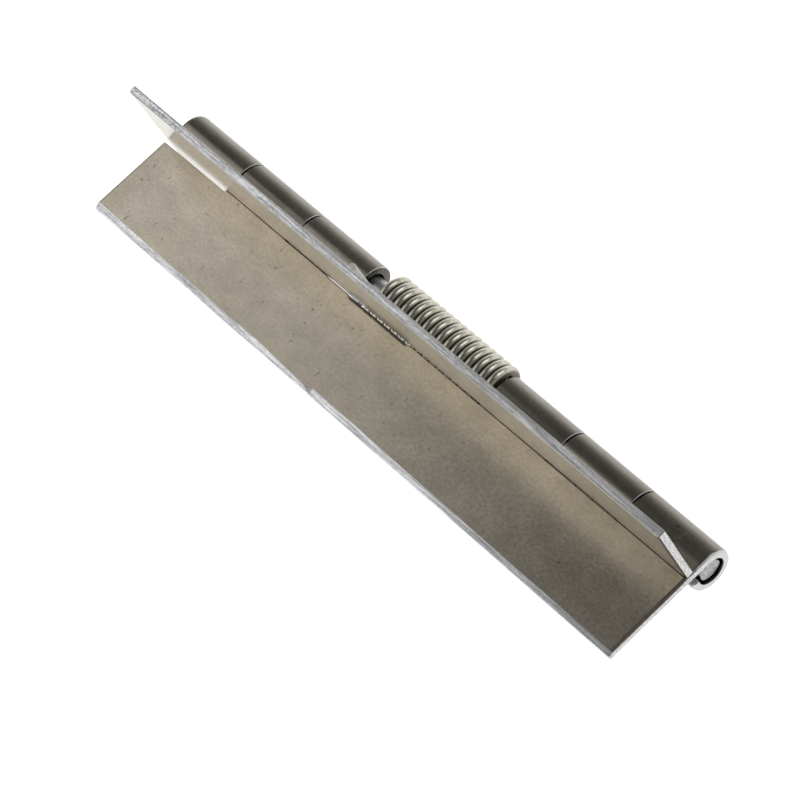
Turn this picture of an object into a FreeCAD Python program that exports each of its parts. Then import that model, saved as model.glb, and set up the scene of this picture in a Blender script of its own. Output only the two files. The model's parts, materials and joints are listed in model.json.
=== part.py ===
import FreeCAD, Part
import math
import os

Vector = FreeCAD.Vector

# Driving dimensions, in millimetres and degrees
knuckle_length = 22.5     # length of barrel that one knuckle takes
knuckles_per_side = 3     # knuckles on either side of the spring
spring_space = 45.0       # bare stretch of the pin left for the spring
end_play = 0.5            # gap between neighbouring knuckles
leaf_width = 30.0         # pin axis to the free edge
leaf_thickness = 2.0
pin_diameter = 6.0
pin_clearance = 0.5       # radial gap round the pin inside a knuckle
pin_recess = 0.4          # how far each pin end lies inside the barrel
pin_chamfer = 0.5
curl_gap = 2.5            # rolled end of a knuckle to the back of its own leaf
rest_angle = 84.0         # between the leaves when the spring has closed them
finger_gap = 0.9          # fixed leaf's notch edge to the moving leaf's fingers
stop_gap = 0.3            # moving leaf's notch edge to the fixed leaf's face at rest
edge_break = 0.25         # broken edge that the shear leaves on the flat side
wire_diameter = 2.3
wire_flats = 10           # flats round the spring wire's section
runs_per_turn = 24        # straight runs in one turn of the coil
bend_runs = 4             # straight runs in a leg's bend
coil_slack = 1.6          # radial gap between the pin and the coil
coil_clearance = 0.35     # coil to the notch edges of both leaves
coil_gap = 0.15           # between neighbouring turns
coil_end_gap = 0.3        # last turn to the knuckle beside it
bare_pin = 3.0            # least length of pin left bare at the coil's other end
leg_reach = 20.0          # pin axis to the tip of a leg
leg_bend = 0.85           # inner radius of the bend between coil and leg
leg_clearance = 0.12      # leg to the leaf that it presses on

# Sizes that follow
bore_radius = pin_diameter / 2 + pin_clearance
barrel_radius = bore_radius + leaf_thickness
hinge_length = 2 * knuckles_per_side * knuckle_length + spring_space
half_length = hinge_length / 2
curl_turn = 270 + math.degrees(math.asin((bore_radius - curl_gap) / barrel_radius))
wire_radius = wire_diameter / 2
coil_outer = pin_diameter / 2 + coil_slack + wire_diameter
coil_mean = coil_outer - wire_radius
coil_pitch = wire_diameter + coil_gap
bend_radius = leg_bend + wire_radius
rest = math.radians(rest_angle)

# A notch clears the other leaf and, with its inner corner, the coil
face_crossing = barrel_radius * (1 + math.cos(rest)) / math.sin(rest)
coil_root = math.sqrt((coil_outer + coil_clearance) ** 2 - bore_radius ** 2)
fixed_root = max(face_crossing + finger_gap, coil_root)
moving_root = max(face_crossing + stop_gap / math.sin(rest), coil_root)

# The origin is the middle of the fixed leaf's flat face, and the pin runs along X
pin_y = (leaf_width + fixed_root) / 2
pin_z = -barrel_radius

# A leaf is drawn in its own plane: along points from the pin axis to the free edge, out to the flat face
fixed_along = Vector(0, -1, 0)
fixed_out = Vector(0, 0, 1)
moving_along = Vector(0, -math.cos(rest), math.sin(rest))
moving_out = Vector(0, -math.sin(rest), -math.cos(rest))


def at(x, along, out, along_axis, out_axis):
    """A point of a leaf's own plane in the hinge's frame."""
    return Vector(x, pin_y, pin_z) + along_axis * along + out_axis * out


def knuckle_spans(first):
    """The barrel stretches of every second knuckle, starting with the given one."""
    spans = []
    count = 2 * knuckles_per_side
    for index in range(first, count, 2):
        start = -half_length + index * knuckle_length
        if index >= knuckles_per_side:
            start += spring_space
        low = start + (end_play / 2 if index > 0 else 0)
        high = start + knuckle_length - (end_play / 2 if index < count - 1 else 0)
        spans.append((low, high))
    return spans


def plate(root, along_axis, out_axis):
    """The flat of a leaf, from its notch line to its free edge."""
    corners = [(root, bore_radius), (leaf_width, bore_radius)]
    corners += [(leaf_width, barrel_radius), (root, barrel_radius)]
    points = [at(-half_length, a, o, along_axis, out_axis) for a, o in corners]
    outline = Part.makePolygon(points + points[:1])
    return Part.Face(outline).extrude(Vector(hinge_length, 0, 0))


def knuckle(span, root, along_axis, out_axis):
    """A finger of the leaf, rolled round the pin from the notch line on."""
    low, high = span

    def ring(radius, turn):
        angle = math.radians(90 + turn)
        return at(low, radius * math.cos(angle), radius * math.sin(angle), along_axis, out_axis)

    flat_top = at(low, root, barrel_radius, along_axis, out_axis)
    flat_under = at(low, root, bore_radius, along_axis, out_axis)
    edges = [
        Part.LineSegment(flat_under, flat_top),
        Part.LineSegment(flat_top, ring(barrel_radius, 0)),
        Part.Arc(ring(barrel_radius, 0), ring(barrel_radius, curl_turn / 2), ring(barrel_radius, curl_turn)),
        Part.LineSegment(ring(barrel_radius, curl_turn), ring(bore_radius, curl_turn)),
        Part.Arc(ring(bore_radius, curl_turn), ring(bore_radius, curl_turn / 2), ring(bore_radius, 0)),
        Part.LineSegment(ring(bore_radius, 0), flat_under),
    ]
    outline = Part.Wire([edge.toShape() for edge in edges])
    return Part.Face(outline).extrude(Vector(high - low, 0, 0))


def leaf(first, root, along_axis, out_axis):
    """One leaf: a flat plate with its rolled fingers, its free and end edges broken on the flat side."""
    body = plate(root, along_axis, out_axis)
    body = body.fuse([knuckle(span, root, along_axis, out_axis) for span in knuckle_spans(first)])
    face_middle = at(0, leaf_width, barrel_radius, along_axis, out_axis)

    def is_rim(edge):
        middle = edge.valueAt((edge.FirstParameter + edge.LastParameter) / 2)
        offset = middle - face_middle
        on_face = abs(offset.dot(out_axis)) < 1e-6
        at_free_edge = abs(offset.dot(along_axis)) < 1e-6
        at_end = abs(abs(middle.x) - half_length) < 1e-6
        on_plate = offset.dot(along_axis) < root - leaf_width + 1e-6
        return on_face and (at_free_edge or (at_end and not on_plate))

    return body.makeChamfer(edge_break, [edge for edge in body.Edges if is_rim(edge)])


def hinge_pin():
    """The plain pin, a little shorter than the barrel and chamfered at both ends."""
    length = hinge_length - 2 * pin_recess
    start = Vector(-length / 2, pin_y, pin_z)
    body = Part.makeCylinder(pin_diameter / 2, length, start, Vector(1, 0, 0))
    rims = [edge for edge in body.Edges if edge.Closed]
    return body.makeChamfer(pin_chamfer, rims)


def wire_along(points):
    """The spring's wire along straight runs mitred together, with as much section as the round wire."""
    corner = wire_radius * math.sqrt(2 * math.pi / (wire_flats * math.sin(2 * math.pi / wire_flats)))
    runs = [(end - start).normalize() for start, end in zip(points, points[1:])]
    across = Vector(1, 0, 0)
    upright = runs[0].cross(across)
    rim = []
    for index in range(wire_flats):
        angle = 2 * math.pi * (index + 0.5) / wire_flats
        rim.append(points[0] + across * (corner * math.cos(angle)) + upright * (corner * math.sin(angle)))
    rims = [rim]
    for point, run, following in zip(points[1:], runs, runs[1:] + runs[-1:]):
        mitre = run + following
        rims.append([dot + run * ((point - dot).dot(mitre) / run.dot(mitre)) for dot in rims[-1]])
    faces = [Part.Face(Part.makePolygon(end + end[:1])) for end in (rims[0], rims[-1])]
    for near, far in zip(rims, rims[1:]):
        for index in range(wire_flats):
            beside = (index + 1) % wire_flats
            side = [near[index], near[beside], far[beside], far[index], near[index]]
            faces.append(Part.Face(Part.makePolygon(side)))
    shell = Part.Shell(faces)
    shell.sewShape()
    return Part.Solid(shell)


def leg_points(x, end, along_axis, way):
    """A leg from its tip to the coil: a straight run, then the bend that joins it to the coil's circle."""
    axis_point = Vector(x, pin_y, pin_z)
    lead = math.atan2(coil_pitch, 2 * math.pi * coil_mean)
    heading = Vector(way, 0, 0).cross(end) * math.cos(lead) + Vector(way, 0, 0) * math.sin(lead)
    turn = heading.getAngle(along_axis)
    inward = (along_axis - heading * math.cos(turn)).normalize()
    points = []
    for step in range(bend_runs, 0, -1):
        angle = turn * step / bend_runs
        shift = heading * math.sin(angle) + inward * (1 - math.cos(angle))
        points.append(axis_point + end * coil_mean + shift * bend_radius)
    straight = leg_reach - (points[0] - axis_point).dot(along_axis)
    return [points[0] + along_axis * straight] + points


def torsion_spring():
    """A coil round the pin, its two ends bent out to lie on the backs of the leaves."""
    # the bend touches the coil's circle from outside and ends on the leg's line
    leg_line = bore_radius - leg_clearance - wire_radius
    hub_out = leg_line + bend_radius
    hub_along = math.sqrt((coil_mean + bend_radius) ** 2 - hub_out ** 2)
    first = (moving_out * hub_out + moving_along * hub_along).normalize()
    last = (fixed_out * hub_out + fixed_along * hub_along).normalize()

    start_angle = math.atan2(first.z, first.y)
    part_turn = (math.atan2(last.z, last.y) - start_angle) / (2 * math.pi) % 1
    coil_room = spring_space + end_play - coil_end_gap - bare_pin - wire_diameter
    turns = math.floor(coil_room / coil_pitch - part_turn) + part_turn
    coil_high = spring_space / 2 + end_play / 2 - coil_end_gap - wire_radius
    coil_low = coil_high - turns * coil_pitch

    points = leg_points(coil_low, first, moving_along, -1)
    runs = round(turns * runs_per_turn)
    for step in range(runs + 1):
        angle = start_angle + 2 * math.pi * turns * step / runs
        x = coil_low + turns * coil_pitch * step / runs
        points.append(Vector(x, pin_y + coil_mean * math.cos(angle), pin_z + coil_mean * math.sin(angle)))
    points += reversed(leg_points(coil_high, last, fixed_along, 1))
    return wire_along(points)


nodes = {
    "fixed_leaf": leaf(1, fixed_root, fixed_along, fixed_out),
    "moving_leaf": leaf(0, moving_root, moving_along, moving_out),
    "hinge_pin": hinge_pin(),
    "torsion_spring": torsion_spring(),
}

os.makedirs("parts", exist_ok=True)
for name, shape in nodes.items():
    shape.exportStep(f"parts/{name}.step")
    print(name, len(shape.Solids), "solid", round(shape.Volume, 2), "mm3", shape.isValid())
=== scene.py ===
import bmesh
import bpy
import json
import math
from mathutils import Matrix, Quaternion, Vector


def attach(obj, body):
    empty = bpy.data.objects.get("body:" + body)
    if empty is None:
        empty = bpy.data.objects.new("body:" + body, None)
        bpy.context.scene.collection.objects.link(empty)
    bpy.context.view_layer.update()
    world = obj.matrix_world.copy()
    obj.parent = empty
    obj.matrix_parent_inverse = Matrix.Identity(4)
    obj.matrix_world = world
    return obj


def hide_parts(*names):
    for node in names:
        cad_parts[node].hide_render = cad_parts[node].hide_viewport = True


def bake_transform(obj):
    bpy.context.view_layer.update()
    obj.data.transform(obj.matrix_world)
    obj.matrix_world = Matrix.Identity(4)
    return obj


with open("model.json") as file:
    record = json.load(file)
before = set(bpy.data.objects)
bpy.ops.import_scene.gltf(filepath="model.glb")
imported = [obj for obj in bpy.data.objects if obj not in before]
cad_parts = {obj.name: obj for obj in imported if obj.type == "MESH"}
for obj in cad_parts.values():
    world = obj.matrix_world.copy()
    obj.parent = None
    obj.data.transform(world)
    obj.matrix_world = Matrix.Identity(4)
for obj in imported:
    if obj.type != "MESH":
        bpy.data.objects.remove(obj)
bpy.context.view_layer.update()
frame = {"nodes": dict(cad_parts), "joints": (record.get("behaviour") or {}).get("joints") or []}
pinAxis = Vector(frame["joints"][0]["pos_m"])
scene = bpy.context.scene
scene.view_settings.view_transform = "Standard"
print("frame loaded:", ", ".join(frame["nodes"]))

# The pieces are drawn in millimetres about the pin axis and then set down in the hinge's frame
metre = 1000.0
near = 0.01     # corners this close to a line lie on it
weld = 0.001    # corners this close are merged
straight = 0.9  # a direction this much along an axis counts as along it


def freshStart():  # nothing may stay selected before a new primitive
    bpy.ops.object.select_all(action="DESELECT")


def pickParts(piece, kind, wanted):  # faces, edges or corners, by place and direction
    bpy.ops.mesh.select_mode(type=kind)
    bpy.ops.mesh.select_all(action="DESELECT")
    shape = bmesh.from_edit_mesh(piece.data)
    if kind == "VERT":
        for corner in shape.verts:
            corner.select_set(wanted(corner.co, corner.normal))
    elif kind == "FACE":
        for face in shape.faces:
            face.select_set(wanted(face.calc_center_median(), face.normal))
    else:
        for edge in shape.edges:
            low, high = edge.verts[0].co, edge.verts[1].co
            edge.select_set(wanted((low + high) / 2, (high - low).normalized()))
    bmesh.update_edit_mesh(piece.data)


def applyModifier(piece, kind, **settings):
    modifier = piece.modifiers.new(kind.lower(), kind)
    for name, value in settings.items():
        setattr(modifier, name, value)
    bpy.ops.object.modifier_apply(modifier=modifier.name)


def weldShape():  # seams merged, faces turned the same way
    bpy.ops.mesh.select_all(action="SELECT")
    bpy.ops.mesh.remove_doubles(threshold=weld)
    bpy.ops.mesh.normals_make_consistent(inside=False)


def closeShape(piece):  # welded, with its faces outwards
    weldShape()
    if bmesh.from_edit_mesh(piece.data).calc_volume(signed=True) < 0:
        bpy.ops.mesh.flip_normals()
    bpy.ops.object.mode_set(mode="OBJECT")


def smoothTo(degrees):
    bpy.ops.object.shade_smooth_by_angle(angle=math.radians(degrees))


def setDown(piece, turn=(0, 0, 0)):
    piece.rotation_mode = "ZYX"
    piece.rotation_euler = [math.radians(angle) for angle in turn]
    piece.scale = (1 / metre, 1 / metre, 1 / metre)
    piece.location = pinAxis
    bpy.ops.object.transform_apply(location=True, rotation=True, scale=True)
    piece.rotation_mode = "XYZ"


# The leaves: one sheet each, three fingers rolled round the pin
leafSet = {
    "length": 180.0,
    "reach": 30.0,             # pin axis to the free edge
    "sheet": 2.0,
    "bore": 3.5,
    "fingers": [(-67.25, -45.25), (22.75, 44.75), (67.75, 90.0)],
    "root": {"fixed": 7.008, "moving": 6.41},  # pin axis to the notch line
    "curl": 280.476,           # degrees that a finger goes round the pin
    "curlSteps": 48,
    "endRoll": (1.1, 0.3),     # drawn-in ends of the flat side: width and depth
    "rollCurve": {0.45: 0.3, 0.0: 1.0},  # how deep, at a share of that width from the end
    "slant": {"fixed": (1.4, 0.95), "moving": (0.3, 0.1)},  # slanting part of the free edge's cut
    "softEdge": 0.25,
    "softSteps": 3,
    "softFrom": 50,            # degrees; the slant's inner edge is flatter than this
    "smoothTo": 20,
    "restAngle": 84.0,
}
# The fixed leaf's notches are cut unevenly: how far each stretch stands in, at its place along the pin
notchSteps = {
    -90.0: 0.18, -67.25: 0.28, -45.25: 0.91, -30.5: 0.91, -29.5: 0.72, -22.8: 0.72, -21.8: 0.58, -1.6: 0.62,
    -0.6: 0.88, 22.75: 0.90, 44.75: 0.91, 67.75: 0.91,
}
# Two strokes of the shear meet on the fixed leaf's free edge: how much wider the slant is there
strokeSteps = {
    -90.0: 0.15, -60.0: 0.0, -30.0: 0.1, -13.5: -0.55, -11.5: -0.95, -10.5: 0.2, 30.0: -0.1, 90.0: -0.3,
}
# Where a leaf's face takes the look of a cut or the painted shade of a gap, by its direction and place
zoneSet = {
    "square": 0.95,         # a cut faces straight along the pin or the leaf
    "endSkin": 0.1,
    "shearedFrom": 1.0,
    "slantFacing": 0.25,
    "slantMargin": 0.3,
    "rimFacing": 0.3,
    "rimFrom": 4.6,         # rims of the knuckles, out from the pin axis
    "rimReach": 5.6,        # and as far along the leaf
    "curlFacing": 0.9,
    "curlHeight": 1.2,
    "gapFacing": 0.15,
    "gap": (-0.4, 1.3),     # before and past the notch line
    "gapUnder": 0.1,
}
plainFinish, cutFinish, gapShadeFinish = 0, 1, 2


def stepBetween(steps, place):
    known = sorted(steps)
    for low, high in zip(known, known[1:]):
        if low <= place <= high:
            return steps[low] + (steps[high] - steps[low]) * (place - low) / (high - low)
    return 0.0


def leafZone(body, facing, place):
    s, z = leafSet, zoneSet
    top = s["bore"] + s["sheet"]
    gapLow, gapHigh = z["gap"]
    inGap = gapLow < place.y + s["root"][body] < gapHigh and place.z > s["bore"] - z["gapUnder"]
    isGap = inGap and facing.y > z["gapFacing"]
    if isGap and (body == "moving" or place.x > s["fingers"][0][0]):  # the far notch gets no painted shade
        return gapShadeFinish
    isEnd = abs(facing.x) > z["square"] and abs(place.x) > s["length"] / 2 - z["endSkin"]
    inSheet = abs(place.z - top + s["sheet"] / 2) < s["sheet"] / 2
    isSheared = abs(facing.y) > z["square"] and inSheet and place.y < -z["shearedFrom"]
    slantLine = s["slant"][body][0] - s["reach"] + z["slantMargin"]
    isSlant = facing.y < -z["slantFacing"] and place.y < slantLine and place.z > s["bore"] + z["slantMargin"]
    isSlant = isSlant and body == "fixed"
    side = 1 if body == "fixed" else -1  # the moving leaf lies the other way round
    away = Vector((0, place.y, place.z)).length
    isRim = facing.x * side > z["rimFacing"] and place.y > -z["rimReach"] and away > z["rimFrom"]
    isCurlEnd = facing.z > z["curlFacing"] and 0 < place.z < z["curlHeight"] and 0 < -place.y < top
    return cutFinish if isEnd or isSheared or isSlant or isRim or isCurlEnd else plainFinish


def rollLeaf(name, node, body, turn, steps, strokes):
    s = leafSet
    top = s["bore"] + s["sheet"]
    root = s["root"][body]
    freshStart()
    middle = (0, -(s["reach"] + root) / 2, s["bore"] + s["sheet"] / 2)
    bpy.ops.mesh.primitive_cube_add(size=1, location=middle)
    leaf = bpy.context.object
    leaf.name = name
    leaf.scale = (s["length"], s["reach"] - root, s["sheet"])
    bpy.ops.object.transform_apply(location=True, rotation=False, scale=True)

    bpy.ops.object.mode_set(mode="EDIT")
    rollWide, rollDeep = s["endRoll"]
    slantWide, slantDeep = s["slant"][body]
    slantLine = slantWide - s["reach"]
    half = s["length"] / 2
    aboveBack = s["bore"] + 0.3  # the sheet's corners on its flat side, drawn in or not
    lines = {place for finger in s["fingers"] for place in finger} | set(steps) | set(strokes)
    lines |= {side * (half - rollWide * share) for side in (-1, 1) for share in (*s["rollCurve"], 1)}
    rows = sorted(lines | {-half, half})
    for at in rows[1:-1]:  # finger, notch and roll-over lines across the sheet
        bpy.ops.mesh.select_all(action="SELECT")
        bpy.ops.mesh.bisect(plane_co=(at, 0, 0), plane_no=(1, 0, 0))
    bpy.ops.mesh.select_all(action="SELECT")
    bpy.ops.mesh.bisect(plane_co=(0, slantLine, 0), plane_no=(0, 1, 0))

    def onFlat(place):
        return place.z > top - near

    pickParts(leaf, "VERT", lambda place, facing: onFlat(place) and place.y < near - s["reach"])
    bpy.ops.transform.translate(value=(0, 0, -slantDeep))
    for share, deep in s["rollCurve"].items():
        at = half - rollWide * share
        pickParts(leaf, "VERT", lambda place, facing: onFlat(place) and abs(abs(place.x) - at) < near)
        bpy.ops.transform.translate(value=(0, 0, -rollDeep * deep))
    for at in rows if strokes else []:
        shift = stepBetween(strokes, at)
        pickParts(leaf, "VERT", lambda place, facing: place.z > aboveBack
                  and abs(place.y - slantLine) < near and abs(place.x - at) < near)
        bpy.ops.transform.translate(value=(0, shift, 0))
        pickParts(leaf, "VERT", lambda place, facing: place.z > aboveBack
                  and place.y < near - s["reach"] and abs(place.x - at) < near)
        bpy.ops.transform.translate(value=(0, 0, -slantDeep * shift / slantWide))

    def isFinger(place, facing):
        return facing.y > straight and any(low < place.x < high for low, high in s["fingers"])

    pickParts(leaf, "FACE", isFinger)
    bpy.ops.mesh.extrude_region_move(TRANSFORM_OT_translate={"value": (0, root, 0)})
    bpy.ops.mesh.spin(
        steps=s["curlSteps"], angle=math.radians(s["curl"]), center=(0, 0, 0), axis=(1, 0, 0)
    )
    weldShape()
    for at in rows if steps else []:
        pickParts(leaf, "EDGE", lambda place, along: abs(along.z) > straight
                  and abs(place.x - at) < near and abs(place.y + root) < near)
        bpy.ops.transform.translate(value=(0, stepBetween(steps, at), 0))

    bpy.ops.object.mode_set(mode="OBJECT")
    applyModifier(leaf, "BEVEL", limit_method="ANGLE", angle_limit=math.radians(s["softFrom"]),
                  width=s["softEdge"], segments=s["softSteps"], use_clamp_overlap=False)
    for face in leaf.data.polygons:
        face.material_index = leafZone(body, face.normal, face.center)
    smoothTo(s["smoothTo"])
    applyModifier(leaf, "WEIGHTED_NORMAL", keep_sharp=True)
    setDown(leaf, turn)
    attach(leaf, body)
    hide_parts(node)
    return leaf


fixedLeaf = rollLeaf("fixedLeafRolled", "fixed_leaf", "fixed", (0, 0, 0), notchSteps, strokeSteps)
movingTurn = (180 - leafSet["restAngle"], 0, 180)
movingLeaf = rollLeaf("movingLeafRolled", "moving_leaf", "moving", movingTurn, {}, {})
print("leaves rolled:", len(fixedLeaf.data.polygons), len(movingLeaf.data.polygons), "faces")


# The pin: a length of rod with cropped, slightly squashed ends
pinSet = {
    "radius": 3.0,
    "length": 179.2,
    "sides": 72,
    "chamfer": 0.7,
    "chamferSteps": 3,
    "squash": (1, 1.06, 0.82),
    "rim": 0.3,                   # round the low dish that the crop leaves
    "dish": (-0.1, 0.1, 0.06),    # inwards along the pin, and to one side
    "cutFacing": 0.8,
    "smoothTo": 30,
}


def cropPin():
    s = pinSet
    freshStart()
    bpy.ops.mesh.primitive_cylinder_add(
        vertices=s["sides"], radius=s["radius"], depth=s["length"], rotation=(0, math.radians(90), 0)
    )
    pin = bpy.context.object
    pin.name = "hingePinRod"
    bpy.ops.object.transform_apply(location=False, rotation=True, scale=False)
    bpy.ops.object.mode_set(mode="EDIT")
    pickParts(pin, "EDGE", lambda place, along: abs(place.x) > s["length"] / 2 - near)
    bpy.ops.mesh.bevel(offset=s["chamfer"], segments=s["chamferSteps"], affect="EDGES")
    inwards, across, upwards = s["dish"]
    for side in (-1, 1):
        pickParts(pin, "FACE", lambda place, facing: facing.x * side > straight)
        middle = (side * s["length"] / 2, 0, 0)
        bpy.ops.transform.resize(value=s["squash"], center_override=middle)
        bpy.ops.mesh.inset(thickness=s["rim"])
        bpy.ops.transform.translate(value=(inwards * side, across, upwards))
    closeShape(pin)
    for face in pin.data.polygons:
        face.material_index = cutFinish if abs(face.normal.x) > s["cutFacing"] else plainFinish
    smoothTo(s["smoothTo"])
    setDown(pin)
    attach(pin, "fixed")
    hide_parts("hinge_pin")
    return pin


hingePin = cropPin()
print("pin cropped:", len(hingePin.data.polygons), "faces")


# The spring: close turns of round wire, one leg on the back of each leaf
springSet = {
    "wire": 1.15,          # half the wire's diameter
    "coil": 5.75,          # pin axis to the middle of the wire
    "pitch": 2.45,
    "turns": 16,           # full turns; the legs add a part of one
    "lastTurn": 21.3,      # middle of the last turn along the pin
    "bend": 2.0,
    "bendSteps": 10,
    "legLine": 2.23,       # pin axis to a leg, square to its leaf
    "legReach": 20.0,
    "tip": 0.25,           # length of a leg's narrowed end
    "tipShare": 0.82,
    "wireSides": 20,
    "stepsPerTurn": 44,
    "smoothTo": 40,
}


def windSpring():
    s = springSet
    hubOut = s["legLine"] + s["bend"]
    hubAlong = math.sqrt((s["coil"] + s["bend"]) ** 2 - hubOut ** 2)
    lean = math.degrees(math.atan2(hubOut, hubAlong))
    movingAlong, fixedAlong = 180 - leafSet["restAngle"], 180.0
    first, last = movingAlong + lean, fixedAlong - lean
    turns = s["turns"] + (last - first) / 360
    start = s["lastTurn"] - turns * s["pitch"]

    def around(degrees):
        angle = math.radians(degrees)
        return Vector((0, math.cos(angle), math.sin(angle)))

    freshStart()
    bpy.ops.mesh.primitive_circle_add(vertices=s["wireSides"], radius=s["wire"], fill_type="NOTHING")
    spring = bpy.context.object
    spring.name = "torsionSpringWire"
    spring.rotation_euler = (math.radians(first), 0, 0)
    spring.location = Vector((start, 0, 0)) + around(first) * s["coil"]
    bpy.ops.object.transform_apply(location=True, rotation=True, scale=False)
    steps = round(turns * s["stepsPerTurn"])
    applyModifier(
        spring, "SCREW", axis="X", angle=math.radians(360 * turns), screw_offset=turns * s["pitch"],
        steps=steps, render_steps=steps, use_smooth_shade=True, use_merge_vertices=False,
    )

    bpy.ops.object.mode_set(mode="EDIT")
    straight = s["legReach"] - hubAlong - s["tip"]
    for x, end, along, way in ((start, first, movingAlong, -1), (s["lastTurn"], last, fixedAlong, 1)):
        centre = Vector((x, 0, 0)) + around(end) * s["coil"]
        hub = Vector((x, 0, 0)) + around(end) * (s["coil"] + s["bend"])
        leg = around(along)

        bpy.ops.mesh.select_mode(type="EDGE")
        bpy.ops.mesh.select_all(action="DESELECT")
        bpy.ops.mesh.select_non_manifold(extend=False)
        shape = bmesh.from_edit_mesh(spring.data)
        for edge in shape.edges:  # of the open ends, only the one at this leg
            middle = (edge.verts[0].co + edge.verts[1].co) / 2
            if edge.select and (middle - centre).length > s["wire"] * 1.1:
                edge.select_set(False)
        bmesh.update_edit_mesh(spring.data)
        bpy.ops.mesh.spin(
            steps=s["bendSteps"], angle=math.radians(90 - lean), center=hub, axis=(way, 0, 0)
        )
        for length in (straight, s["tip"]):
            bpy.ops.mesh.extrude_region_move(TRANSFORM_OT_translate={"value": leg * length})
        bpy.ops.transform.resize(value=(s["tipShare"],) * 3)
        bpy.ops.mesh.edge_face_add()
    closeShape(spring)
    smoothTo(s["smoothTo"])
    setDown(spring)
    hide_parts("torsion_spring")
    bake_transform(spring)
    return spring


torsionSpring = windSpring()
print("spring wound:", len(torsionSpring.data.polygons), "faces")


# Node helpers for the finishes
def addNode(tree, kind, feeds=None, **settings):
    node = tree.nodes.new("ShaderNode" + kind)
    for name, value in settings.items():
        setattr(node, name, value)
    for name, value in (feeds or {}).items():
        if isinstance(value, bpy.types.NodeSocket):
            tree.links.new(value, node.inputs[name])
        else:
            node.inputs[name].default_value = value
    return node


def useGroup(tree, group, feeds):
    return addNode(tree, "Group", feeds, node_tree=group).outputs


def reckon(tree, how, first, second=0.0, clamp=False):
    return addNode(tree, "Math", {0: first, 1: second}, operation=how, use_clamp=clamp).outputs[0]


def times(tree, first, second):
    return reckon(tree, "MULTIPLY", first, second)


def spread(tree, value, low, high, newLow=0.0, newHigh=1.0):  # map range, held at both ends
    feeds = {"Value": value, "From Min": low, "From Max": high, "To Min": newLow, "To Max": newHigh}
    return addNode(tree, "MapRange", feeds, clamp=True).outputs["Result"]


def blendColour(tree, share, first, second, how="MIX"):
    return addNode(tree, "Mix", {0: share, 6: first, 7: second}, data_type="RGBA", blend_type=how).outputs[2]


def tinted(tree, colour, tint):
    return blendColour(tree, 1.0, colour, tint, "MULTIPLY")


def greyTint(tree, level):
    return addNode(tree, "CombineColor", {0: level, 1: level, 2: level}).outputs[0]


def noise(tree, place, scale, detail=2.0, stretch=(1, 1, 1), turn=(0, 0, 0)):
    if stretch != (1, 1, 1) or turn != (0, 0, 0):
        angles = [math.radians(angle) for angle in turn]
        place = addNode(tree, "Mapping", {"Vector": place, "Scale": stretch, "Rotation": angles}).outputs[0]
    return addNode(tree, "TexNoise", {"Vector": place, "Scale": scale, "Detail": detail}).outputs["Fac"]


def axesOf(tree, place):
    return addNode(tree, "SeparateXYZ", {0: place}).outputs


def fromPin(tree, place):  # millimetres out from the pin axis
    axis = (0, pinAxis.y * metre, pinAxis.z * metre)
    out = addNode(tree, "VectorMath", {0: place, 1: axis}, operation="SUBTRACT").outputs[0]
    out = addNode(tree, "VectorMath", {0: out, 1: (0, 1, 1)}, operation="MULTIPLY").outputs[0]
    return addNode(tree, "VectorMath", {0: out}, operation="LENGTH").outputs["Value"]


def newGroup(name, takes, gives):
    group = bpy.data.node_groups.new(name, "ShaderNodeTree")
    for title, kind, value in takes:
        socket = group.interface.new_socket(name=title, in_out="INPUT", socket_type="NodeSocket" + kind)
        if value is not None:
            socket.default_value = value
    for title in gives:
        group.interface.new_socket(name=title, in_out="OUTPUT", socket_type="NodeSocketFloat")
    return group, group.nodes.new("NodeGroupInput").outputs, group.nodes.new("NodeGroupOutput").inputs


# Curved hairline scratches: thin contour lines of a slow noise, broken up by another
scratchFields = (  # scale, stretch and turn
    (0.09, (0.35, 1, 1), (0, 0, 25)), (0.13, (1, 0.4, 1), (0, 0, -35)), (0.22, (1, 1, 1), (40, 0, 70)),
)


def makeScratches():
    takes = [("Place", "Vector", None), ("Width", "Float", 0.012), ("Share", "Float", 0.5)]
    group, take, give = newGroup("hairScratches", takes, ["Mask"])
    total = 0.0
    for scale, stretch, turn in scratchFields:
        field = noise(group, take["Place"], scale, 1.5, stretch, turn)
        away = reckon(group, "ABSOLUTE", reckon(group, "SUBTRACT", field, 0.5))
        line = reckon(group, "SUBTRACT", 1.0, reckon(group, "DIVIDE", away, take["Width"]), clamp=True)
        broken = noise(group, take["Place"], scale * 2.7, 2.0, (1, 1, 1), (turn[2], 20, 0))
        total = reckon(group, "MAXIMUM", total, times(group, line, spread(group, broken, 0.5, 0.62)))
    group.links.new(times(group, total, take["Share"]), give["Mask"])
    return group


# Small dark pits and specks, drawn out of round and crowded here and there
pitSet = {
    "wander": (1.3, 3.0),           # scale and detail of the noise that draws them out
    "reach": 1.6,
    "size": (0.03, 0.12),           # in cells
    "soft": 0.45,
    "crowd": (0.4, 0.7, 0.2, 1.8),
}


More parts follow.
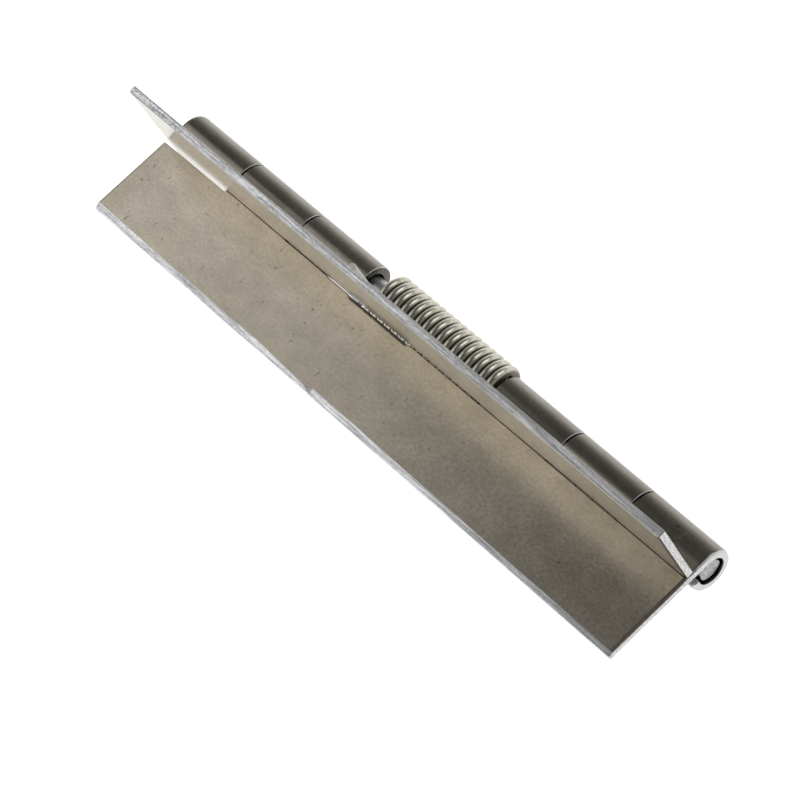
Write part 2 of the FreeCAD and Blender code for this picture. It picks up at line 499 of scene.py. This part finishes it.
def makePits():
    s = pitSet
    takes = [("Place", "Vector", None), ("Cell", "Float", 0.28), ("Share", "Float", 0.09)]
    group, take, give = newGroup("pitMarks", takes, ["Mask"])
    place = take["Place"]
    scale, detail = s["wander"]
    wander = addNode(group, "TexNoise", {"Vector": place, "Scale": scale, "Detail": detail}).outputs["Color"]
    shift = addNode(group, "VectorMath", {0: wander, 1: (s["reach"],) * 3}, operation="MULTIPLY").outputs[0]
    moved = addNode(group, "VectorMath", {0: place, 1: shift}, operation="ADD").outputs[0]
    cells = addNode(group, "TexVoronoi", {"Vector": moved, "Scale": take["Cell"]}).outputs
    lot = addNode(group, "SeparateColor", {0: cells["Color"]}).outputs
    size = spread(group, lot[1], 0.0, 1.0, *s["size"])
    spot = reckon(group, "SUBTRACT", 1.0, reckon(group, "DIVIDE", cells["Distance"], size), clamp=True)
    spot = spread(group, spot, 0.0, s["soft"])
    crowd = spread(group, noise(group, place, 0.06, 2.0), *s["crowd"])
    keep = reckon(group, "LESS_THAN", lot[0], times(group, take["Share"], crowd))
    group.links.new(times(group, spot, keep), give["Mask"])
    return group


# Cloudy tone of rolled sheet, with its fine grain
def makeMottle():
    takes = [("Place", "Vector", None), ("Cloud", "Float", 0.035)]
    group, take, give = newGroup("millMottle", takes, ["Tone", "Patch", "Grain"])
    place = take["Place"]
    cloud = noise(group, place, take["Cloud"], 3.0)
    patch = noise(group, place, 0.24, 6.0, (0.6, 1, 1), (0, 0, 20))
    grain = noise(group, place, 1.5, 5.0, (0.7, 1, 1))
    group.links.new(spread(group, cloud, 0.15, 0.85), give["Tone"])
    group.links.new(spread(group, patch, 0.2, 0.8), give["Patch"])
    group.links.new(spread(group, grain, 0.25, 0.75), give["Grain"])
    return group


# A sheared face: fine lines along the cut, torn specks and a few bright rubs
def makeTear():
    group, take, give = newGroup("shearTear", [("Place", "Vector", None)], ["Streak", "Torn", "Rub"])
    place = take["Place"]
    streak = noise(group, place, 3.2, 2.0, (0.02, 1, 1))
    torn = noise(group, place, 2.0, 5.0, (0.8, 1, 1))
    rub = noise(group, place, 1.5, 3.0, (0.05, 1.4, 1.4))
    group.links.new(spread(group, streak, 0.36, 0.64), give["Streak"])
    group.links.new(spread(group, torn, 0.48, 0.6), give["Torn"])
    group.links.new(spread(group, rub, 0.54, 0.64), give["Rub"])
    return group


hairScratches, pitMarks, millMottle, shearTear = makeScratches(), makePits(), makeMottle(), makeTear()
print("finish groups made")


def startFinish(name, metallic=1.0):
    material = bpy.data.materials.new(name)
    material.use_nodes = True
    tree = material.node_tree
    shader = tree.nodes["Principled BSDF"].inputs
    shader["Metallic"].default_value = metallic
    where = addNode(tree, "TexCoord").outputs["Object"]
    place = addNode(tree, "Mapping", {"Vector": where, "Scale": (metre, metre, metre)}).outputs[0]
    return material, tree, shader, place


def giveBump(tree, shader, height, look):
    strength, depth = look["bump"]
    bump = addNode(tree, "Bump", {"Strength": strength, "Distance": depth, "Height": height})
    tree.links.new(bump.outputs["Normal"], shader["Normal"])


leafLook = {
    "pale": (0.56, 0.50, 0.42, 1),
    "olive": (0.40, 0.37, 0.29, 1),
    "brown": (0.42, 0.35, 0.275, 1),
    "rubbed": (0.70, 0.66, 0.58, 1),
    # dark of the pits and scuffs, and also of the painted shade in the knuckles and along the notch
    "pitAndShade": (0.06, 0.055, 0.05, 1),
    "cool": (0.94, 1.0, 1.09, 1),         # tint of the moving leaf's outer part
    "coolFrom": (15, 29),                 # this and the next two: millimetres out from the pin axis
    "rolledFrom": (5.9, 5.6),
    "innerShadeFrom": (5.4, 5.1),
    "rolled": (0.45, 0.46, 0.475, 1),     # tint of the knuckles
    "innerShade": 0.75,
    "stain": (0.5, 0.7, 0, 0.3),
    "patch": (0.86, 1.10),
    "grain": (0.86, 1.14),
    "scratches": {"Width": 0.008, "Share": 0.35},
    "scratched": 0.22,
    "pits": {"Share": 0.2},
    "pitted": 0.85,
    "scuffs": (                           # scale, stretch and turn
        (0.75, (1, 0.4, 1), (0, 0, -40)), (0.95, (0.5, 1, 1), (0, 0, 15)), (0.6, (1, 0.6, 1), (0, 0, 75)),
    ),
    "scuffed": (0.68, 0.73, 0, 0.6),
    "notchEdgeShade": (-21.8, -1.6, 11.4),          # from and to along the pin, and where it starts across the leaf
    "roughness": (0.22, 0.26),
    "bump": (0.12, 0.00003),              # strength, and depth in metres
}


def millFinish(name, isMoving):
    look = leafLook
    material, tree, shader, place = startFinish(name)
    mottle = useGroup(tree, millMottle, {"Place": place})
    scratch = useGroup(tree, hairScratches, {"Place": place, **look["scratches"]})["Mask"]
    pits = useGroup(tree, pitMarks, {"Place": place, **look["pits"]})["Mask"]
    away = fromPin(tree, place)

    colour = blendColour(tree, mottle["Tone"], look["olive"], look["pale"])
    stain = noise(tree, place, 0.07, 3.0, (1, 0.6, 1), (0, 0, 30))
    colour = blendColour(tree, spread(tree, stain, *look["stain"]), colour, look["brown"])
    if isMoving:  # greyer towards the free edge
        cool = spread(tree, away, *look["coolFrom"])
        colour = blendColour(tree, cool, colour, tinted(tree, colour, look["cool"]))
    patch = spread(tree, mottle["Patch"], 0, 1, *look["patch"])
    grain = spread(tree, mottle["Grain"], 0, 1, *look["grain"])
    colour = tinted(tree, colour, greyTint(tree, times(tree, patch, grain)))

    # the rolled knuckles are darker, with painted shade between and inside them
    rolled = spread(tree, away, *look["rolledFrom"])
    colour = blendColour(tree, rolled, colour, tinted(tree, colour, look["rolled"]))
    # painted shade in the gaps between the knuckles and in the bore
    innerShade = spread(tree, away, *look["innerShadeFrom"], 0, look["innerShade"])
    colour = blendColour(tree, innerShade, colour, look["pitAndShade"])

    colour = blendColour(tree, times(tree, scratch, look["scratched"]), colour, look["rubbed"])
    for scale, stretch, turn in look["scuffs"]:
        scuff = noise(tree, place, scale, 6.0, stretch, turn)
        colour = blendColour(tree, spread(tree, scuff, *look["scuffed"]), colour, look["pitAndShade"])
    if not isMoving:  # painted shade along the edge of the spring's notch
        low, high, depth = look["notchEdgeShade"]
        side = axesOf(tree, place)
        notchEdgeShade = times(tree, spread(tree, side["X"], low - 0.5, low + 0.5),
                     spread(tree, side["X"], high + 0.5, high - 0.5))
        ragged = reckon(tree, "ADD", side["Y"], times(tree, mottle["Grain"], 0.3))
        notchEdgeShade = times(tree, notchEdgeShade, spread(tree, ragged, depth, depth + 0.2, 0, 0.95))
        colour = blendColour(tree, notchEdgeShade, colour, look["pitAndShade"])
    colour = blendColour(tree, times(tree, pits, look["pitted"]), colour, look["pitAndShade"])
    tree.links.new(colour, shader["Base Color"])

    rough = spread(tree, mottle["Grain"], 0, 1, *look["roughness"])
    rough = reckon(tree, "ADD", rough, times(tree, scratch, 0.05))
    rough = reckon(tree, "ADD", rough, times(tree, pits, 0.1), clamp=True)
    tree.links.new(rough, shader["Roughness"])
    height = reckon(tree, "SUBTRACT", times(tree, mottle["Grain"], 0.15), times(tree, pits, 0.06))
    height = reckon(tree, "SUBTRACT", height, times(tree, scratch, 0.12))
    giveBump(tree, shader, height, look)
    return material


# Painted shade: a near-black matte finish on the faces in the gaps at the notches, standing for the shade
# there
gapShadeLook = {"black": (0.02, 0.018, 0.015, 1), "brown": (0.07, 0.055, 0.04, 1), "roughness": 0.9}


def makeGapShade():
    look = gapShadeLook
    material, tree, shader, place = startFinish("notchGapShade", 0.0)
    grain = useGroup(tree, millMottle, {"Place": place})["Grain"]
    tree.links.new(blendColour(tree, grain, look["black"], look["brown"]), shader["Base Color"])
    shader["Roughness"].default_value = look["roughness"]
    shader["Specular IOR Level"].default_value = 0.0
    return material


shearLook = {
    "grey": (0.36, 0.36, 0.37, 1),
    "lilac": (0.68, 0.68, 0.70, 1),
    "bright": (0.86, 0.86, 0.86, 1),
    "torn": (0.26, 0.26, 0.26, 1),
    "flakes": {"Cell": 0.45, "Share": 0.3},  # bright specks of burr
    "falloffAlong": (10, 88),                    # along the pin: painted light toward the left, painted shade toward the right end
    "endFace": (89.3, 89.6),                 # the right end faces stay bright, out of the painted shade
    "ring": ((6.2, 5.9), (3.1, 3.4)),        # painted highlight on the rims of the knuckles, out from the pin axis
    "roughness": (0.34, 0.55),
    "ringRoughness": 0.7,
    "shares": {"torn": 0.4, "rub": 0.75, "flakes": 0.8, "ring": 0.6},
    "levels": {"shearCut": (1.35, 0.68), "movingCut": (1.12, 0.95)},  # painted light up to the middle, and painted shade at the right end
    "bump": (0.25, 0.00008),
}


def shearFinish(name):
    look = shearLook
    shares = look["shares"]
    material, tree, shader, place = startFinish(name)
    tear = useGroup(tree, shearTear, {"Place": place})
    flakes = useGroup(tree, pitMarks, {"Place": place, **look["flakes"]})["Mask"]
    colour = blendColour(tree, tear["Streak"], look["grey"], look["lilac"])
    colour = blendColour(tree, times(tree, tear["Torn"], shares["torn"]), colour, look["torn"])
    colour = blendColour(tree, times(tree, tear["Rub"], shares["rub"]), colour, look["bright"])
    colour = blendColour(tree, times(tree, flakes, shares["flakes"]), colour, look["bright"])
    # painted light and shade: cut faces lighter toward the left end and darker toward the right
    along = axesOf(tree, place)["X"]
    paintedFalloff = spread(tree, along, *look["falloffAlong"], *look["levels"][name])
    paintedFalloff = reckon(tree, "MAXIMUM", paintedFalloff, spread(tree, along, *look["endFace"]))
    colour = tinted(tree, colour, greyTint(tree, paintedFalloff))
    away = fromPin(tree, place)
    # painted highlight: the knuckle rims are lightened toward bright, standing for a reflection
    outer, inner = look["ring"]
    ring = times(tree, spread(tree, away, *outer), spread(tree, away, *inner))
    colour = blendColour(tree, times(tree, ring, shares["ring"]), colour, look["bright"])
    tree.links.new(colour, shader["Base Color"])
    rough = spread(tree, tear["Torn"], 0, 1, *look["roughness"])
    rough = reckon(tree, "MAXIMUM", rough, times(tree, ring, look["ringRoughness"]))
    tree.links.new(rough, shader["Roughness"])
    height = reckon(tree, "SUBTRACT", times(tree, tear["Streak"], 0.5), tear["Torn"])
    giveBump(tree, shader, height, look)
    return material


wireLook = {
    "clean": (0.60, 0.57, 0.49, 1),
    "drawn": (0.39, 0.37, 0.315, 1),
    "leg": (0.34, 0.33, 0.30, 1),
    "turnShade": (0.07, 0.062, 0.045, 1),
    "legShadeFrom": (7.2, 8.6),       # this and the next: millimetres out from the pin axis
    "turnShadeFrom": (6.6, 6.1),
    "turnShadeShare": 0.75,
    "scratches": {"Width": 0.03, "Share": 0.5},
    "roughness": (0.30, 0.20),
    "turnShadeRoughness": 0.2,
    "bump": (0.2, 0.00003),
}


def wireFinish():
    look = wireLook
    material, tree, shader, place = startFinish("springWire")
    grain = useGroup(tree, millMottle, {"Place": place, "Cloud": 0.12})["Grain"]
    scratch = useGroup(tree, hairScratches, {"Place": place, **look["scratches"]})["Mask"]
    colour = blendColour(tree, grain, look["drawn"], look["clean"])
    away = fromPin(tree, place)
    # painted shade: the legs are darker than the coil
    colour = blendColour(tree, spread(tree, away, *look["legShadeFrom"]), colour, look["leg"])
    inner = spread(tree, away, *look["turnShadeFrom"])  # painted shade between the turns
    colour = blendColour(tree, times(tree, inner, look["turnShadeShare"]), colour, look["turnShade"])
    tree.links.new(colour, shader["Base Color"])
    rough = spread(tree, grain, 0, 1, *look["roughness"])
    rough = reckon(tree, "ADD", rough, times(tree, inner, look["turnShadeRoughness"]))
    tree.links.new(rough, shader["Roughness"])
    giveBump(tree, shader, reckon(tree, "SUBTRACT", grain, scratch), look)
    return material


rodLook = {
    "blue": (0.30, 0.31, 0.33, 1),
    "grey": (0.46, 0.46, 0.45, 1),
    "rubbed": (0.66, 0.66, 0.65, 1),
    "scratches": {"Width": 0.03, "Share": 0.6},
    "scratched": 0.5,
    "roughness": (0.28, 0.4),
    "bump": (0.25, 0.00004),
}


def rodFinish():
    look = rodLook
    material, tree, shader, place = startFinish("pinRod")
    mottle = useGroup(tree, millMottle, {"Place": place, "Cloud": 0.2})
    scratch = useGroup(tree, hairScratches, {"Place": place, **look["scratches"]})["Mask"]
    colour = blendColour(tree, mottle["Patch"], look["blue"], look["grey"])
    colour = blendColour(tree, times(tree, scratch, look["scratched"]), colour, look["rubbed"])
    tree.links.new(colour, shader["Base Color"])
    tree.links.new(spread(tree, mottle["Grain"], 0, 1, *look["roughness"]), shader["Roughness"])
    giveBump(tree, shader, mottle["Grain"], look)
    return material


# Each piece takes its finishes in the order plain, cut, painted gap shade
leafMill, movingMill = millFinish("leafMill", False), millFinish("movingMill", True)
shearCut, movingCut = shearFinish("shearCut"), shearFinish("movingCut")
notchGapShade, springWire, pinRod = makeGapShade(), wireFinish(), rodFinish()
for piece, finishes in (
    (fixedLeaf, (leafMill, shearCut, notchGapShade)), (movingLeaf, (movingMill, movingCut, notchGapShade)),
    (hingePin, (pinRod, shearCut)), (torsionSpring, (springWire,)),
):
    for finish in finishes:
        piece.data.materials.append(finish)
print("finishes given")


# A pale floor that stays white for the camera and in the steel, and keeps a soft shadow
floorSet = {"height": -0.040, "size": 8.0, "glow": 0.9, "mirrored": 1.0, "paper": 0.6}
freshStart()
bpy.ops.mesh.primitive_plane_add(size=floorSet["size"], location=(0, 0, floorSet["height"]))
floor = bpy.context.object
floor.name = "studioFloor"
paper = bpy.data.materials.new("studioPaper")
paper.use_nodes = True
tree = paper.node_tree
tree.nodes.clear()
rays = addNode(tree, "LightPath").outputs
seen = times(tree, rays["Is Camera Ray"], floorSet["glow"])
mirrored = reckon(tree, "MAXIMUM", rays["Is Glossy Ray"], rays["Is Transmission Ray"])
seen = reckon(tree, "MAXIMUM", seen, times(tree, mirrored, floorSet["mirrored"]))
white = addNode(tree, "Emission", {"Color": (1, 1, 1, 1), "Strength": seen})
matte = addNode(tree, "BsdfDiffuse", {"Color": (floorSet["paper"],) * 3 + (1,)})
both = addNode(tree, "AddShader", {0: matte.outputs[0], 1: white.outputs[0]})
addNode(tree, "OutputMaterial", {"Surface": both.outputs[0]})
floor.data.materials.append(paper)

lightSet = {
    "longSoftbox": {
        "place": (-0.622, -0.48, 0.719), "aim": (-0.033, -0.48, -0.027),
        "size": (1.04, 0.61), "roll": -5, "power": 2.6,
    },
    "lowSoftbox": {
        "place": (-0.675, 0.145, 0.678), "aim": (-0.086, 0.145, -0.068),
        "size": (0.21, 0.48), "roll": 0, "power": 0.24,
    },
    "backSoftbox": {
        "place": (0.28, 0.72, 0.60), "aim": (0, 0, 0),
        "size": (0.6, 0.6), "roll": 0, "power": 1.8,
    },
}
for name, lamp in lightSet.items():
    data = bpy.data.lights.new(name, "AREA")
    data.shape = "RECTANGLE"
    data.size, data.size_y = lamp["size"]
    data.energy = lamp["power"]
    softbox = bpy.data.objects.new(name, data)
    softbox.location = lamp["place"]
    back = Vector(lamp["place"]) - Vector(lamp["aim"])
    turned = back.to_track_quat("Z", "Y") @ Quaternion((0, 0, 1), math.radians(lamp["roll"]))
    softbox.rotation_euler = turned.to_euler()
    scene.collection.objects.link(softbox)

# The room: bright round the horizon, dim higher up and darker still overhead
roomSet = {"bright": (0.05, 0.9), "dim": (0.42, 0.28), "overhead": (0.95, 0.4)}  # height and level
room = bpy.data.worlds.new("studioRoom")
scene.world = room
room.use_nodes = True
tree = room.node_tree
up = addNode(tree, "SeparateXYZ", {0: addNode(tree, "TexCoord").outputs["Generated"]}).outputs["Z"]
(brightUp, bright), (dimUp, dim), (overheadUp, overhead) = roomSet.values()
level = spread(tree, up, brightUp, dimUp, bright, dim)
level = times(tree, level, spread(tree, up, dimUp, overheadUp, 1, overhead))
background = tree.nodes["Background"].inputs
tree.links.new(level, background["Strength"])
background["Color"].default_value = (1, 1, 1, 1)

cameraSet = {
    "place": (0.433907, -0.146753, 0.707709),
    "turn": (29.60175, 14.09716, 47.64075),
    "lens": 167.538,
    "sensor": 36,
    "clip": (0.01, 20),
}
lens = bpy.data.cameras.new("photoLens")
lens.sensor_width = cameraSet["sensor"]
lens.lens = cameraSet["lens"]
lens.clip_start, lens.clip_end = cameraSet["clip"]
camera = bpy.data.objects.new("photoCamera", lens)
camera.location = cameraSet["place"]
camera.rotation_euler = [math.radians(angle) for angle in cameraSet["turn"]]
scene.collection.objects.link(camera)
scene.camera = camera
print("stage and camera set")
